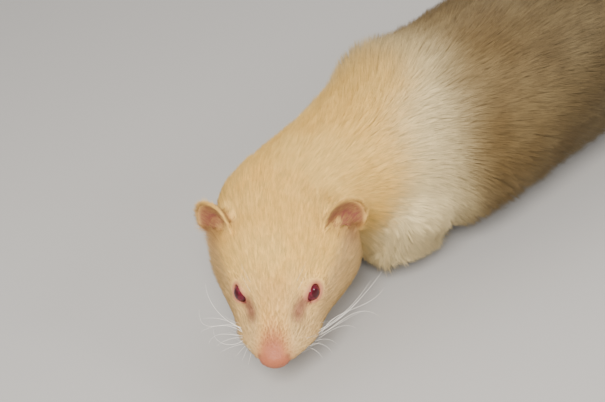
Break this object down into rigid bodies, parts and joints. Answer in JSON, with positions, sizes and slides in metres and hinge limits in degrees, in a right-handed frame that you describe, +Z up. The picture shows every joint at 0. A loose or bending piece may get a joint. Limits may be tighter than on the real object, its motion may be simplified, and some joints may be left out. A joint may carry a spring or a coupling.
{
  "type": "ferret",
  "caption": "Life-size ferret creeping forward with its low head turned to its left, with a long furred body, short legs, rounded ears and a tapering tail.",
  "frame": {"origin": "middle of the bounding box in plan, at floor level under the soles", "axes": "+Y from the head end to the tail, so the animal faces -Y; +X to the animal's left; +Z up"},
  "size_m": [0.1046, 0.527, 0.1055],
  "materials": {
    "coat": "soft cream fur",
    "skin": "bare pink skin, slightly moist on the nose",
    "eye": "wet glossy dark red",
    "claw": "smooth translucent horn"
  },
  "bodies": {
    "root": {"claw_forepaw_left_1": "claw", "claw_forepaw_left_2": "claw", "claw_forepaw_left_3": "claw", "claw_forepaw_left_4": "claw", "claw_forepaw_left_5": "claw", "claw_forepaw_right_1": "claw", "claw_forepaw_right_2": "claw", "claw_forepaw_right_3": "claw", "claw_forepaw_right_4": "claw", "claw_forepaw_right_5": "claw", "claw_hindpaw_left_1": "claw", "claw_hindpaw_left_2": "claw", "claw_hindpaw_left_3": "claw", "claw_hindpaw_left_4": "claw", "claw_hindpaw_left_5": "claw", "claw_hindpaw_right_1": "claw", "claw_hindpaw_right_2": "claw", "claw_hindpaw_right_3": "claw", "claw_hindpaw_right_4": "claw", "claw_hindpaw_right_5": "claw", "ear_left": "skin", "ear_right": "skin", "eye_left": "eye", "eye_right": "eye", "foreleg_left": "coat", "foreleg_right": "coat", "forepaw_left": "coat", "forepaw_right": "coat", "head": "coat", "hindleg_left": "coat", "hindleg_right": "coat", "hindpaw_left": "coat", "hindpaw_right": "coat", "jaw": "coat", "neck": "coat", "nose": "skin", "tail": "coat", "torso": "coat"}
  },
  "joints": []
}
